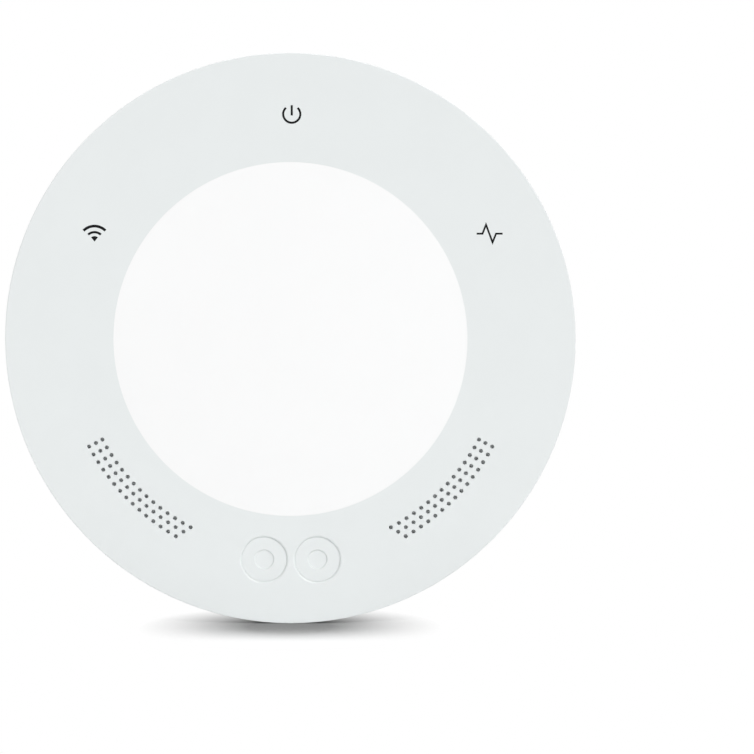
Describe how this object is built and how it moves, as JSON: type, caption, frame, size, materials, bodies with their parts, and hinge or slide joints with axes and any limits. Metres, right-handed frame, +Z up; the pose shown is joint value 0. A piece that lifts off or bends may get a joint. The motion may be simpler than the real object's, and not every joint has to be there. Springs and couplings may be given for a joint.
{
  "type": "gate controller",
  "caption": "Round wall-hung gate controller: a pale ring with printed symbols, sound grilles and push buttons round a domed disc, twisting onto a wall plate.",
  "frame": {"origin": "centre of the wall plate's back face, on the wall", "axes": "+X to the right and +Z up as the controller hangs, +Y into the wall; the front looks along -Y"},
  "size_m": [0.125, 0.026, 0.125],
  "materials": {
    "back_white": "fine satin moulding grain",
    "shell_grey": "smooth satin, very pale cool grey",
    "disc_white": "smooth semi-gloss white",
    "switch_black": "moulded black",
    "board_green": "solder mask over copper",
    "screw_steel": "zinc plated",
    "clear_plastic": "clear moulded acrylic",
    "led_white": "phosphor and resin",
    "dark_cloth": "fine dark woven cloth",
    "foam_black": "closed-cell foam",
    "speaker_black": "moulded black",
    "speaker_cone": "pressed paper",
    "can_steel": "tin plated",
    "contact_gold": "gold flash over spring bronze",
    "relay_blue": "smooth moulded",
    "terminal_green": "moulded polyamide",
    "can_aluminium": "drawn can",
    "chip_black": "moulded epoxy"
  },
  "bodies": {
    "plate": {"wall_plate": "back_white"},
    "hub": {"button_switches": "switch_black", "centre_disc": "disc_white", "control_chips": "chip_black", "front_shell": "shell_grey", "gate_terminals": "terminal_green", "grille_cloth_left": "dark_cloth", "grille_cloth_right": "dark_cloth", "housing_screws": "screw_steel", "light_pipe_activity": "clear_plastic", "light_pipe_power": "clear_plastic", "light_pipe_radio": "clear_plastic", "main_board": "board_green", "power_inductor": "chip_black", "power_inlet": "can_steel", "processor_shield": "can_steel", "radio_module": "can_steel", "rear_housing": "back_white", "relays": "relay_blue", "reset_switch": "switch_black", "sensor_antenna": "contact_gold", "sensor_terminals": "terminal_green", "speaker_contacts": "contact_gold", "speaker_frame_left": "speaker_black", "speaker_frame_right": "speaker_black", "speaker_gasket_left": "foam_black", "speaker_gasket_right": "foam_black", "speaker_magnet_left": "can_steel", "speaker_magnet_right": "can_steel", "speaker_surround_left": "foam_black", "speaker_surround_right": "foam_black", "status_leds": "led_white", "storage_capacitors": "can_aluminium"},
    "left_button": {"button_left": "shell_grey", "switch_stem_left": "switch_black"},
    "right_button": {"button_right": "shell_grey", "switch_stem_right": "switch_black"},
    "reset": {"reset_stem": "switch_black"},
    "left_cone": {"speaker_cone_left": "speaker_cone"},
    "right_cone": {"speaker_cone_right": "speaker_cone"}
  },
  "joints": [
    {"name": "housing_twist", "type": "hinge", "parent": "plate", "child": "hub", "pos_m": [0, 0, 0], "axis": [0, -1, 0], "range_deg": [0, 14]},
    {"name": "button_left_press", "type": "slide", "parent": "hub", "child": "left_button", "axis": [0, 1, 0], "range_m": [0, 0.0003], "stiffness_N_per_m": 4000},
    {"name": "button_right_press", "type": "slide", "parent": "hub", "child": "right_button", "axis": [0, 1, 0], "range_m": [0, 0.0003], "stiffness_N_per_m": 4000},
    {"name": "reset_press", "type": "slide", "parent": "hub", "child": "reset", "axis": [0, -1, 0], "range_m": [0, 0.0003], "stiffness_N_per_m": 4000},
    {"name": "speaker_cone_left_travel", "type": "slide", "parent": "hub", "child": "left_cone", "axis": [0, -1, 0], "range_m": [-0.0003, 0.0003], "stiffness_N_per_m": 2000},
    {"name": "speaker_cone_right_travel", "type": "slide", "parent": "hub", "child": "right_cone", "axis": [0, -1, 0], "range_m": [-0.0003, 0.0003], "stiffness_N_per_m": 2000}
  ]
}
